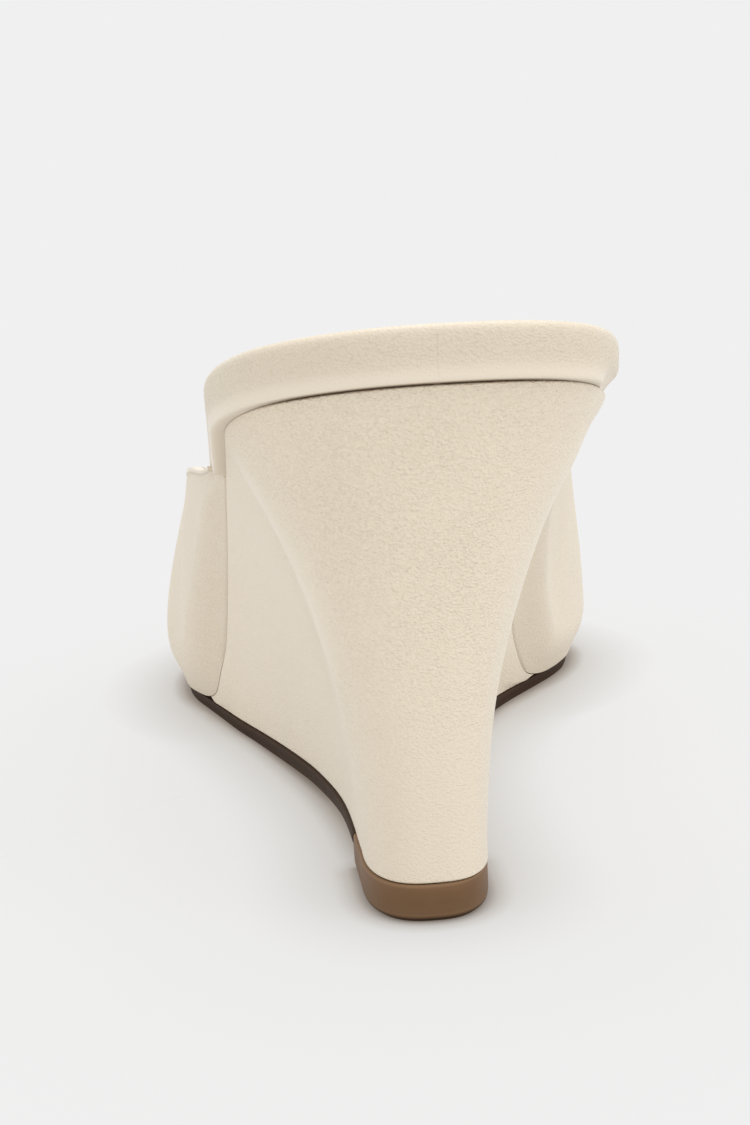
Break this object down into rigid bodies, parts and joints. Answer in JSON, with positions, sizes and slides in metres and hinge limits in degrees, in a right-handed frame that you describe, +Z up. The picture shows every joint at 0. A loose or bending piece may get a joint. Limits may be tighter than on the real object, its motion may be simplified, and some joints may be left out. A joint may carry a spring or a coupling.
{
  "type": "wedge mule",
  "caption": "Closed-toe leather slip-on mule for the left foot, on a slim covered wedge heel with a wrapped footbed, thin outsole and small heel tip.",
  "frame": {"origin": "on the floor under the middle of the shoe's outline, at the centre of the bounding box's underside", "axes": "+Z up, +Y from heel to toe, +X towards the inner side of the foot"},
  "size_m": [0.0898, 0.2392, 0.0777],
  "materials": {
    "upper_leather": "cream full-grain leather with a fine pebble grain, satin",
    "insole_leather": "cream leather wrapped round the footbed, satin, smooth on top",
    "wedge_leather": "cream leather stretched over the wedge, fine pebble grain, satin",
    "outsole_rubber": "dark brown moulded sole unit, matte",
    "heel_tip_rubber": "mid brown hard rubber, satin"
  },
  "bodies": {
    "root": {"upper": "upper_leather", "insole": "insole_leather", "wedge": "wedge_leather", "outsole": "outsole_rubber", "heel_tip": "heel_tip_rubber"}
  },
  "joints": []
}
